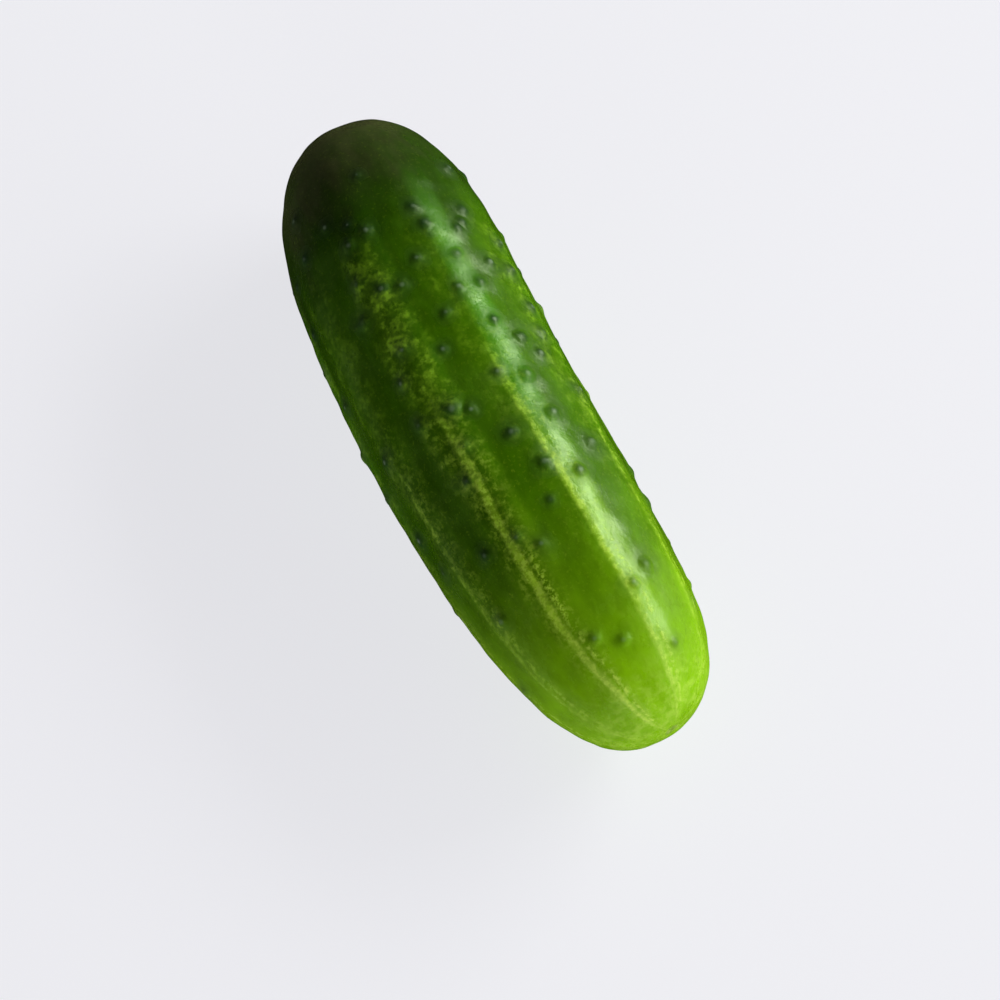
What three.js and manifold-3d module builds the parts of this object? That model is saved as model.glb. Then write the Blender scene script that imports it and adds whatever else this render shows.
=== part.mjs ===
// A pickling cucumber lying on its side, as one closed solid.
//
// Frame, in millimetres: +X runs along the fruit from the stem end to the blossom end, +Z is up,
// and the origin is the middle of the bounding box on the surface that the fruit lies on.
// The fruit bows sideways in the level plane, with both ends swung toward +Y.
//
// Places on the skin are given as
//   along   millimetres from the stem end, measured on the straight chord between the two ends
//   around  degrees about the spine, 0 at the top, growing toward +Y

import * as THREE from 'three';
import { mergeVertices } from 'three/addons/utils/BufferGeometryUtils.js';
import Module from 'manifold-3d';

// ---- driving dimensions ----

const fruitLength = 120;
const bodyRadius = 18.8;
const bowSag = 4.1;
const seatDepth = 0.2;

// The radius falls off as sqrt(1 - barrel s^2 - (1 - barrel) s^power), with s from 0 at the
// middle to 1 at the tip of each half, and the whole fruit widens slightly toward the blossom.
const stemHalf = { barrel: 0.05, power: 5.1 };
const blossomHalf = { barrel: 0.56, power: 7.8 };
const blossomWidening = 0.034;

// Ridge crests, in degrees around, each with how deep the flatter facet after it dips.
const ridges = [
  { crest: 15, dip: 0.3 },
  { crest: 55, dip: 0.55 },
  { crest: 92, dip: 0.6 },
  { crest: 127, dip: 0.5 },
  { crest: 160, dip: 0.5 },
  { crest: 200, dip: 0.5 },
  { crest: 234, dip: 0.6 },
  { crest: 266, dip: 0.5 },
  { crest: 298, dip: 0.6 },
  { crest: 336, dip: 0.6 },
];
const stemFacetShare = 0.4;

// Scars at the two tips: a dished corky patch where the stalk sat, a small one where the flower did.
const stemScar = { radius: 3.1, depth: 0.9, shoulderRadius: 7, shoulderDepth: 0.7 };
const blossomScar = { radius: 1.2, depth: 0.3, shoulderRadius: 4.5, shoulderDepth: 0.25 };

// ---- mesh fineness ----

const ringCount = 48;
const stepsPerFacet = 4;
const wartSides = 6;
// Slivers shorter than this are closed up after the joining.
const leastEdge = 0.05;

// ---- warts ----

// Warts that stand out on the upper face: [along, around, width].
const chosenWarts = [
  [16, -9, 1.8], [18, 50, 2.6], [27.5, 41, 2.8], [30, 36, 2.6], [31, 31, 2.4],
  [36, 23, 2.6], [29, 14, 2.6], [25.5, 12, 2.6], [34.5, 2, 2.5], [26.5, -16, 2.8],
  [24, -24, 1.8], [27.5, -27, 2.6], [34, -32, 2.6], [38, -11, 2.6], [37, -21, 2.6],
  [38.5, 40, 2.8], [42, 28, 2.6], [42, 15, 2.4], [45.5, 3, 2.4], [48, -25, 2.4],
  [40, 54, 2.6], [34, 58, 2.6], [40, -38, 3], [17, -58, 2.4], [22, -37, 2.2],
  [24, -58, 2.2], [47.5, 55, 2.6], [53, 52, 2.6], [57, 42, 2.6], [53.5, 35, 3.2],
  [49.5, 24, 2.6], [60.5, 26, 3.2], [68.5, 28, 3.2], [75, 42, 3.2], [79.5, 25, 2.8],
  [58.5, 12, 2.2], [76, 10, 3.2], [69, 3, 2.8], [82, 3, 1.8], [51, -7, 2.4],
  [61, -17, 3.2], [62.5, -9, 2.4], [67.5, -21, 2.4], [72.5, -28, 2.4], [52.5, -34, 2.4],
  [60, -36, 2.4], [60.5, -66, 2.6], [64.5, 57, 2.6], [84.5, -22, 2.2], [83.5, -42, 2.4],
  [86, 73, 3.2], [98, 33, 3], [100, 19, 2.4], [111, 28, 2], [107, -4, 2.6],
  [104.5, -18, 2.6], [87.5, -13, 2.4], [93, -57, 2.6], [105, 66, 2.4],
];

// The rest are drawn by a seeded rule over the remaining arc, thickest in the stem half.
const wartSeed = 1117;
const wartTries = 900;
const drawnArc = { from: 76, to: 286 };
const drawnReach = { from: 13, thick: 30, thin: 72, to: 112 };
const drawnWidth = { least: 1.8, most: 2.8 };
const wartSpacing = 6.4;
// A wart's height grows with the square of its width.
const wartRise = 0.065;
const wartRoot = 1.1;
// No wart stands in the strip that the fruit lies on.
const seatArc = { from: 154, to: 206 };

// ---- shape of the skin ----

const halfLength = fruitLength / 2;

function smoothStep(from, to, value) {
  const share = Math.min(Math.max((value - from) / (to - from), 0), 1);
  return share * share * (3 - 2 * share);
}

function radiusAt(x) {
  const half = x < 0 ? stemHalf : blossomHalf;
  const share = Math.min(Math.abs(x) / halfLength, 1);
  const fall = half.barrel * share ** 2 + (1 - half.barrel) * share ** half.power;
  const widening = 1 + (blossomWidening * x) / halfLength;
  return bodyRadius * Math.sqrt(Math.max(1 - fall, 0)) * widening;
}

// The crest that ends the facet begun by one ridge.
function nextCrest(i) {
  return i + 1 < ridges.length ? ridges[i + 1].crest : ridges[0].crest + 360;
}

// 0 on a ridge crest and the facet's own dip in its middle.
function facetDip(around) {
  const first = ridges[0].crest;
  const turned = ((((around - first) % 360) + 360) % 360) + first;
  return ridges.reduce((dip, ridge, i) => {
    const share = (turned - ridge.crest) / (nextCrest(i) - ridge.crest);
    const inFacet = Math.min(Math.max(share, 0), 1);
    return dip + ridge.dip * Math.sin(Math.PI * inFacet) ** 2;
  }, 0);
}

// Facets are faint over the stem end, full past the middle, and fade out at both tips.
function facetShare(x) {
  const grown = stemFacetShare + (1 - stemFacetShare) * smoothStep(-45, -5, x);
  return grown * (1 - (Math.abs(x) / halfLength) ** 6);
}

function scarDish(scar, radius) {
  const dish = scar.depth * (1 - smoothStep(scar.radius - 1, scar.radius + 1, radius));
  const shoulder = scar.shoulderDepth * Math.exp(-((radius / scar.shoulderRadius) ** 2));
  return dish + shoulder;
}

// The skin without warts, about the middle of the spine.
function skinPoint(along, around) {
  const x = along - halfLength;
  const angle = THREE.MathUtils.degToRad(around);
  const round = radiusAt(x);
  const radius = round - facetDip(around) * facetShare(x) * (round / bodyRadius);
  const sunk = x < 0 ? scarDish(stemScar, radius) : -scarDish(blossomScar, radius);
  const share = x / halfLength;
  const turn = Math.atan((2 * bowSag * share) / halfLength);
  const outward = radius * Math.sin(angle);
  return new THREE.Vector3(
    x + sunk - outward * Math.sin(turn),
    bowSag * share ** 2 + outward * Math.cos(turn),
    radius * Math.cos(angle),
  );
}

function skinNormal(along, around) {
  const alongStep = 0.05;
  const aroundStep = 0.2;
  const lengthwise = skinPoint(along + alongStep, around).sub(skinPoint(along - alongStep, around));
  const crosswise = skinPoint(along, around + aroundStep).sub(skinPoint(along, around - aroundStep));
  return lengthwise.cross(crosswise).normalize();
}

// ---- the body ----

// A globe of rings and meridians, with each of its points moved to its place on the skin. The
// meridians run along the crests and at even steps across each facet between them.
function makeBody() {
  const meridians = ridges.length * stepsPerFacet;
  const globe = new THREE.SphereGeometry(1, meridians, ringCount);
  const position = globe.getAttribute('position');
  const uv = globe.getAttribute('uv');
  for (let i = 0; i < position.count; i += 1) {
    const along = halfLength * (1 + Math.cos(Math.PI * uv.getY(i)));
    const column = (Math.round(uv.getX(i) * meridians) + meridians) % meridians;
    const facet = Math.floor(column / stepsPerFacet);
    const before = ridges[facet].crest;
    const around = before + ((nextCrest(facet) - before) * (column % stepsPerFacet)) / stepsPerFacet;
    const point = skinPoint(along, around);
    position.setXYZ(i, point.x, point.y, point.z);
  }
  return globe;
}

// ---- the warts ----

// Numbers from 0 to 1 in a fixed order, from a linear congruential generator.
function makeDraw(seed) {
  const span = 2 ** 32;
  let state = seed;
  return () => {
    state = (state * 1664525 + 1013904223) % span;
    return state / span;
  };
}

function placeWarts() {
  const warts = chosenWarts.map(([along, around, width]) => ({ along, around, width }));
  const draw = makeDraw(wartSeed);
  for (let i = 0; i < wartTries; i += 1) {
    const along = fruitLength * draw();
    const around = drawnArc.from + (drawnArc.to - drawnArc.from) * draw();
    const width = drawnWidth.least + (drawnWidth.most - drawnWidth.least) * draw();
    const chance = draw();
    const thickening = smoothStep(drawnReach.from, drawnReach.thick, along);
    const thinning = 1 - smoothStep(drawnReach.thin, drawnReach.to, along);
    const clear = warts.every((wart) => {
      const sideways = bodyRadius * THREE.MathUtils.degToRad(wart.around - around);
      return Math.hypot(wart.along - along, sideways) > wartSpacing;
    });
    const onSeat = around > seatArc.from && around < seatArc.to;
    if (clear && !onSeat && chance < thickening * thinning) {
      warts.push({ along, around, width });
    }
  }
  return warts;
}

// A low dome turned about its own axis, standing square to the skin with its root sunk in the body.
function makeWart({ along, around, width }) {
  const height = wartRise * width ** 2;
  const outline = [
    new THREE.Vector2(0, -wartRoot),
    new THREE.Vector2(0.62 * width, -0.4 * height),
    new THREE.Vector2(0.34 * width, 0.7 * height),
    new THREE.Vector2(0, height),
  ];
  const dome = new THREE.LatheGeometry(outline, wartSides);
  const axis = new THREE.Vector3(0, 1, 0);
  const turn = new THREE.Quaternion().setFromUnitVectors(axis, skinNormal(along, around));
  dome.applyQuaternion(turn);
  const foot = skinPoint(along, around);
  dome.translate(foot.x, foot.y, foot.z);
  return dome;
}

// ---- joining ----

const wasm = await Module();
wasm.setup();

function toSolid(geometry) {
  geometry.deleteAttribute('normal');
  geometry.deleteAttribute('uv');
  const merged = mergeVertices(geometry);
  return new wasm.Manifold(
    new wasm.Mesh({
      numProp: 3,
      vertProperties: new Float32Array(merged.getAttribute('position').array),
      triVerts: new Uint32Array(merged.getIndex().array),
    }),
  );
}

function toGeometry(solid) {
  const mesh = solid.getMesh();
  const geometry = new THREE.BufferGeometry();
  geometry.setAttribute('position', new THREE.BufferAttribute(mesh.vertProperties, 3));
  geometry.setIndex(new THREE.BufferAttribute(mesh.triVerts, 1));
  return geometry;
}

// Everything under the seat plane, which shaves the small flat that the fruit lies on.
function makeGroundBelow(seatZ) {
  const depth = bodyRadius;
  const ground = new THREE.BoxGeometry(2 * fruitLength, 2 * fruitLength, depth);
  ground.translate(0, 0, seatZ - depth / 2);
  return ground;
}

const body = makeBody();
body.computeBoundingBox();
const seatZ = body.boundingBox.min.z + seatDepth;

let fruit = toSolid(body);
for (const wart of placeWarts()) {
  fruit = fruit.add(toSolid(makeWart(wart)));
}
fruit = fruit.subtract(toSolid(makeGroundBelow(seatZ)));
fruit = fruit.simplify(leastEdge);

const skin = toGeometry(fruit);
skin.computeBoundingBox();
const middle = skin.boundingBox.getCenter(new THREE.Vector3());
skin.translate(-middle.x, -middle.y, -seatZ);
skin.computeVertexNormals();

const skinGreen = new THREE.MeshStandardMaterial({ color: 0x3f7a12, roughness: 0.34, metalness: 0 });

const cucumber = new THREE.Mesh(skin, skinGreen);
cucumber.name = 'cucumber';

const group = new THREE.Group();
group.add(cucumber);

export default group;
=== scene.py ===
"""A pickling cucumber: its skin, ridges, warts and scars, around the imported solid."""
import math
from types import SimpleNamespace

import bmesh
import bpy
import numpy as np
from mathutils import Matrix, Vector


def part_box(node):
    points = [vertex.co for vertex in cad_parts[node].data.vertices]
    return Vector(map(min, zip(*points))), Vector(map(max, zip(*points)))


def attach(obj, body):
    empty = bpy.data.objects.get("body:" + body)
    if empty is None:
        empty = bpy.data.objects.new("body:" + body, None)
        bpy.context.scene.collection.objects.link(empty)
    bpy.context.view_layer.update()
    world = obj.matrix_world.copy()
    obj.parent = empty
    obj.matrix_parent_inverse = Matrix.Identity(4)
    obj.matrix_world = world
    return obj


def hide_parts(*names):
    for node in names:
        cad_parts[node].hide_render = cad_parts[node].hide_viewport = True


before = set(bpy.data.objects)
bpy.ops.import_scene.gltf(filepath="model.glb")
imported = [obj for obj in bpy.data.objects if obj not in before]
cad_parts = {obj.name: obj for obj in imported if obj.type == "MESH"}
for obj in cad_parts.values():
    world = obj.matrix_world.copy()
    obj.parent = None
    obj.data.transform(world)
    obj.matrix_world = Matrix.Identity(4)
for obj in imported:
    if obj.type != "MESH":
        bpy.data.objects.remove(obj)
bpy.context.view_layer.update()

MM = 0.001

# ---- driving dimensions of the fruit, in millimetres and degrees, the same as the solid's ----

FRUIT_LENGTH = 120.0
BODY_RADIUS = 18.8
BOW_SAG = 4.1
SEAT_DEPTH = 0.2
STEM_HALF = {"barrel": 0.05, "power": 5.1}
BLOSSOM_HALF = {"barrel": 0.56, "power": 7.8}
BLOSSOM_WIDENING = 0.034

# Ridge crests, each with how far the flatter facet after it dips, how strong are the line of
# pale flecks on it, the broken net of flecks round it and the paler stripe past it (past the crest
# at 15 degrees, a painted highlight as well as paler skin), and how far the line leans off the
# crest towards the blossom, as a share of half a facet.
RIDGES = [
    {"crest": 15, "dip": 0.3, "line": 0.95, "net": 0.25, "band": 1.0, "lean": 0.0},
    {"crest": 55, "dip": 0.55, "line": 0.6, "net": 0.5, "band": 0.2, "lean": 0.1},
    {"crest": 92, "dip": 0.6, "line": 0.5, "net": 0.7, "band": 0.25, "lean": -0.1},
    {"crest": 127, "dip": 0.5, "line": 0.6, "net": 0.5, "band": 0.4, "lean": 0.12},
    {"crest": 160, "dip": 0.5, "line": 0.6, "net": 0.6, "band": 0.3, "lean": -0.08},
    {"crest": 200, "dip": 0.5, "line": 0.5, "net": 0.5, "band": 0.3, "lean": 0.1},
    {"crest": 234, "dip": 0.6, "line": 0.8, "net": 0.7, "band": 0.4, "lean": -0.12},
    {"crest": 266, "dip": 0.5, "line": 0.5, "net": 0.5, "band": 0.25, "lean": 0.08},
    {"crest": 298, "dip": 0.6, "line": 0.55, "net": 0.2, "band": 0.0, "lean": -0.25},
    {"crest": 336, "dip": 0.6, "line": 1.25, "net": 1.0, "band": 0.1, "lean": -0.3},
]
FIRST_CREST = RIDGES[0]["crest"]
CRESTS = [ridge["crest"] for ridge in RIDGES] + [FIRST_CREST + 360]
# Facets are faint over the stem end, full past the middle, and fade out at both tips.
STEM_FACET_SHARE = 0.4
FACETS_GROW = (-45.0, -5.0)
FACET_FADE_POWER = 6.0

STEM_SCAR = {"radius": 3.1, "depth": 0.9, "shoulder_radius": 7.0, "shoulder_depth": 0.7}
BLOSSOM_SCAR = {"radius": 1.2, "depth": 0.3, "shoulder_radius": 4.5, "shoulder_depth": 0.25}
SCAR_RIM = 1.0

# Warts that stand out on the upper face: (along, around, width).
CHOSEN_WARTS = [
    (16, -9, 1.8), (18, 50, 2.6), (27.5, 41, 2.8), (30, 36, 2.6), (31, 31, 2.4),
    (36, 23, 2.6), (29, 14, 2.6), (25.5, 12, 2.6), (34.5, 2, 2.5), (26.5, -16, 2.8),
    (24, -24, 1.8), (27.5, -27, 2.6), (34, -32, 2.6), (38, -11, 2.6), (37, -21, 2.6),
    (38.5, 40, 2.8), (42, 28, 2.6), (42, 15, 2.4), (45.5, 3, 2.4), (48, -25, 2.4),
    (40, 54, 2.6), (34, 58, 2.6), (40, -38, 3), (17, -58, 2.4), (22, -37, 2.2),
    (24, -58, 2.2), (47.5, 55, 2.6), (53, 52, 2.6), (57, 42, 2.6), (53.5, 35, 3.2),
    (49.5, 24, 2.6), (60.5, 26, 3.2), (68.5, 28, 3.2), (75, 42, 3.2), (79.5, 25, 2.8),
    (58.5, 12, 2.2), (76, 10, 3.2), (69, 3, 2.8), (82, 3, 1.8), (51, -7, 2.4),
    (61, -17, 3.2), (62.5, -9, 2.4), (67.5, -21, 2.4), (72.5, -28, 2.4), (52.5, -34, 2.4),
    (60, -36, 2.4), (60.5, -66, 2.6), (64.5, 57, 2.6), (84.5, -22, 2.2), (83.5, -42, 2.4),
    (86, 73, 3.2), (98, 33, 3), (100, 19, 2.4), (111, 28, 2), (107, -4, 2.6),
    (104.5, -18, 2.6), (87.5, -13, 2.4), (93, -57, 2.6), (105, 66, 2.4),
]

# The rest are drawn by a seeded rule over the remaining arc, thickest in the stem half.
WART_SEED = 1117
WART_TRIES = 900
DRAWN_ARC = (76, 286)
DRAWN_REACH = {"from": 13, "thick": 30, "thin": 72, "to": 112}
DRAWN_WIDTH = (1.8, 2.8)
WART_SPACING = 6.4
# A wart's height grows with the square of its width.
WART_RISE = 0.065
# No wart stands in the strip that the fruit lies on.
SEAT_ARC = (154, 206)

# A wart's dome and the skirt round it, in wart radii, with how much of its height each makes up
# and how ragged its outline is.
WART_RADIUS_SHARE = 0.62
WART_DOME = (0.05, 1.0)
WART_SKIRT = (0.5, 2.2)
DOME_SHARE = 0.8
WART_RAGGED = {"scale": 0.55, "share": 1.1}
# Each wart draws how dark it is, from a least darkness up, and how pale its tip is (a spine's scar
# and a painted glint).
WART_TONE_SEED = 77
LEAST_DARKNESS = 0.4

# Soft unevenness of the skin, in waves to the millimetre and in millimetres.
SWELL_SCALE = 0.05
DIMPLE_SCALE = 0.17
SWELL = 0.12
DIMPLING = 0.17
UNEVEN_SEED = 3.0
# What brings the noise's usual span, about a quarter, up to one.
NOISE_GAIN = 4.0

# ---- fineness of the skin's net ----

STEPS_PER_FACET = 16
NET_PITCH = 0.7
TIP_PITCH = 0.28
TIP_REACH = 5.0
PROFILE_STEPS = 4000
# How near a wart the net is cut finer, once and then once more, in wart widths.
FINER_REACH = (0.95, 0.66)


# ---- where the warts are ----


def smooth_step(low, high, value):
    share = min(max((value - low) / (high - low), 0.0), 1.0)
    return share * share * (3 - 2 * share)


def make_draw(seed):
    """Numbers from 0 to 1 in a fixed order, from a linear congruential generator."""
    factor, step, span = 1664525, 1013904223, 2**32
    state = seed

    def draw():
        nonlocal state
        state = (state * factor + step) % span
        return state / span

    return draw


def is_clear(along, around, warts):
    """Whether a place on the skin is a wart spacing or more from every wart so far."""
    gaps = (
        math.hypot(other[0] - along, BODY_RADIUS * math.radians(other[1] - around))
        for other in warts
    )
    return all(gap > WART_SPACING for gap in gaps)


def place_warts():
    warts = list(CHOSEN_WARTS)
    draw = make_draw(WART_SEED)
    for _ in range(WART_TRIES):
        along = FRUIT_LENGTH * draw()
        around = DRAWN_ARC[0] + (DRAWN_ARC[1] - DRAWN_ARC[0]) * draw()
        width = DRAWN_WIDTH[0] + (DRAWN_WIDTH[1] - DRAWN_WIDTH[0]) * draw()
        chance = draw()
        thickening = smooth_step(DRAWN_REACH["from"], DRAWN_REACH["thick"], along)
        thinning = 1 - smooth_step(DRAWN_REACH["thin"], DRAWN_REACH["to"], along)
        on_seat = SEAT_ARC[0] < around < SEAT_ARC[1]
        wanted = not on_seat and chance < thickening * thinning
        if wanted and is_clear(along, around, warts):
            warts.append((along, around, width))
    return warts


# ---- arithmetic in node trees ----


class Wire:
    """A socket in a node tree, with arithmetic that adds Math nodes."""

    def __init__(self, tree, socket):
        self.tree = tree
        self.socket = socket

    def __add__(self, other):
        return calc(self.tree, "ADD", self, other)

    def __radd__(self, other):
        return calc(self.tree, "ADD", other, self)

    def __sub__(self, other):
        return calc(self.tree, "SUBTRACT", self, other)

    def __rsub__(self, other):
        return calc(self.tree, "SUBTRACT", other, self)

    def __mul__(self, other):
        return calc(self.tree, "MULTIPLY", self, other)

    def __rmul__(self, other):
        return calc(self.tree, "MULTIPLY", other, self)

    def __truediv__(self, other):
        return calc(self.tree, "DIVIDE", self, other)

    def __pow__(self, other):
        return calc(self.tree, "POWER", self, other)


def feed(tree, socket, value):
    """Links a wire into a socket, or sets the socket to a plain value."""
    if isinstance(value, Wire):
        tree.links.new(value.socket, socket)
    else:
        socket.default_value = value


def add_node(tree, kind, inputs=None, **settings):
    """A node with its settings made and its inputs fed, by name or by place."""
    node = tree.nodes.new(kind)
    for name, value in settings.items():
        setattr(node, name, value)
    for key, value in (inputs or {}).items():
        feed(tree, node.inputs[key], value)
    return node


def calc(tree, operation, *values):
    node = add_node(tree, "ShaderNodeMath", operation=operation)
    for socket, value in zip(node.inputs, values):
        feed(tree, socket, value)
    return Wire(tree, node.outputs[0])


def ramp_between(tree, value, low, high, out_low=0.0, out_high=1.0, shape="SMOOTHSTEP"):
    """How far a value has climbed from low to high, as a share or between two other values."""
    node = add_node(tree, "ShaderNodeMapRange", interpolation_type=shape, clamp=True)
    for socket, item in zip(node.inputs, (value, low, high, out_low, out_high)):
        feed(tree, socket, item)
    return Wire(tree, node.outputs[0])


def vector_calc(tree, operation, *values, output=0):
    node = add_node(tree, "ShaderNodeVectorMath", operation=operation)
    sockets = [node.inputs[0], node.inputs["Scale"]] if operation == "SCALE" else node.inputs
    for socket, value in zip(sockets, values):
        feed(tree, socket, value)
    return Wire(tree, node.outputs[output])


def split(tree, vector):
    node = add_node(tree, "ShaderNodeSeparateXYZ", {0: vector})
    return [Wire(tree, output) for output in node.outputs]


def combine(tree, x, y, z):
    return Wire(tree, add_node(tree, "ShaderNodeCombineXYZ", {0: x, 1: y, 2: z}).outputs[0])


def new_tree(name, inputs, outputs):
    """A geometry node tree with named inputs and outputs, and its inputs as wires."""
    tree = bpy.data.node_groups.new(name, "GeometryNodeTree")
    for socket_name, kind, default in inputs:
        socket = tree.interface.new_socket(socket_name, in_out="INPUT", socket_type=kind)
        if default is not None:
            socket.default_value = default
    for socket_name, kind in outputs:
        tree.interface.new_socket(socket_name, in_out="OUTPUT", socket_type=kind)
    entry = tree.nodes.new("NodeGroupInput")
    wires = {socket.name: Wire(tree, socket) for socket in entry.outputs if socket.name}
    return tree, wires


def finish_tree(tree, **results):
    leave = tree.nodes.new("NodeGroupOutput")
    for name, wire in results.items():
        feed(tree, leave.inputs[name], wire)
    return tree


# ---- the shape of the skin, as a node group ----


def make_place_group():
    """From a place on the skin, as along and around, to its point and how far round it is,
    counted in facets."""
    number, vector = "NodeSocketFloat", "NodeSocketVector"
    sizes = [
        ("Along", number, 0.0),
        ("Around", number, 0.0),
        ("Length", number, FRUIT_LENGTH),
        ("Radius", number, BODY_RADIUS),
        ("Bow", number, BOW_SAG),
        ("Facet dip", number, 1.0),
    ]
    outputs = [("Point", vector), ("Phase", number), ("From spine", number)]
    tree, given = new_tree("place_on_skin", sizes, outputs)

    half_length = given["Length"] * 0.5
    x = given["Along"] - half_length
    signed_share = x / half_length
    share = calc(tree, "MINIMUM", calc(tree, "ABSOLUTE", signed_share), 1.0)
    on_blossom_half = calc(tree, "GREATER_THAN", x, 0.0)

    def by_half(key):
        return on_blossom_half * (BLOSSOM_HALF[key] - STEM_HALF[key]) + STEM_HALF[key]

    barrel = by_half("barrel")
    power = by_half("power")
    fall = barrel * share**2.0 + (1.0 - barrel) * share**power
    roundness = calc(tree, "SQRT", calc(tree, "MAXIMUM", 1.0 - fall, 0.0))
    full_radius = given["Radius"] * roundness * (signed_share * BLOSSOM_WIDENING + 1.0)

    turned = calc(tree, "FLOORED_MODULO", given["Around"] - FIRST_CREST, 360.0) + FIRST_CREST
    phase = 0.0
    dip = 0.0
    for ridge, before, after in zip(RIDGES, CRESTS, CRESTS[1:]):
        in_facet = ramp_between(tree, turned, before, after, shape="LINEAR")
        phase = in_facet + phase
        dip = calc(tree, "SINE", in_facet * math.pi) ** 2.0 * ridge["dip"] + dip
    grown = ramp_between(tree, x, *FACETS_GROW, STEM_FACET_SHARE, 1.0)
    facet_share = grown * (1.0 - share**FACET_FADE_POWER)
    radius = full_radius - given["Facet dip"] * dip * facet_share * roundness

    def scar_dish(scar):
        inner, outer = scar["radius"] - SCAR_RIM, scar["radius"] + SCAR_RIM
        dish = ramp_between(tree, radius, inner, outer, scar["depth"], 0.0)
        spread = (radius / scar["shoulder_radius"]) ** 2.0
        return dish + calc(tree, "EXPONENT", spread * -1.0) * scar["shoulder_depth"]

    stem_sink = scar_dish(STEM_SCAR) * (1.0 - on_blossom_half)
    blossom_sink = scar_dish(BLOSSOM_SCAR) * on_blossom_half
    sunk = stem_sink - blossom_sink

    angle = calc(tree, "RADIANS", given["Around"])
    turn = calc(tree, "ARCTANGENT", 2.0 * given["Bow"] * signed_share / half_length)
    outward = radius * calc(tree, "SINE", angle)
    point = combine(
        tree,
        x + sunk - outward * calc(tree, "SINE", turn),
        given["Bow"] * signed_share**2.0 + outward * calc(tree, "COSINE", turn),
        radius * calc(tree, "COSINE", angle),
    )
    return finish_tree(tree, **{"Point": point, "Phase": phase, "From spine": radius})


# ---- the skin tree: places the net, raises the warts, shaves the seat ----


def named_attribute(tree, name):
    node = add_node(tree, "GeometryNodeInputNamedAttribute", {"Name": name}, data_type="FLOAT")
    return Wire(tree, node.outputs["Attribute"])


def store(tree, geometry, name, value):
    """Keeps a value at each point under a name that the material reads."""
    node = add_node(
        tree, "GeometryNodeStoreNamedAttribute", {"Geometry": geometry, "Name": name},
        data_type="FLOAT", domain="POINT",
    )
    feed(tree, node.inputs["Value"], value)
    return Wire(tree, node.outputs["Geometry"])


def move_points(tree, geometry, position=None, offset=None):
    node = add_node(tree, "GeometryNodeSetPosition", {"Geometry": geometry})
    if position is not None:
        feed(tree, node.inputs["Position"], position)
    if offset is not None:
        feed(tree, node.inputs["Offset"], offset)
    return Wire(tree, node.outputs["Geometry"])


def put_group(tree, group, **given):
    node = tree.nodes.new("GeometryNodeGroup")
    node.node_tree = group
    for name, value in given.items():
        feed(tree, node.inputs[name.replace("_", " ")], value)
    return {output.name: Wire(tree, output) for output in node.outputs}


def sample_at(tree, geometry, value, index, kind):
    node = add_node(tree, "GeometryNodeSampleIndex", {"Geometry": geometry}, data_type=kind)
    feed(tree, node.inputs["Value"], value)
    feed(tree, node.inputs["Index"], index)
    return Wire(tree, node.outputs["Value"])


def noise(tree, vector, scale, detail=2.0, roughness=0.5, seed=0.0):
    node = add_node(tree, "ShaderNodeTexNoise", noise_dimensions="4D")
    feed(tree, node.inputs["Vector"], vector)
    feed(tree, node.inputs["W"], seed)
    feed(tree, node.inputs["Scale"], scale)
    feed(tree, node.inputs["Detail"], detail)
    feed(tree, node.inputs["Roughness"], roughness)
    return Wire(tree, node.outputs["Fac"])


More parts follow.
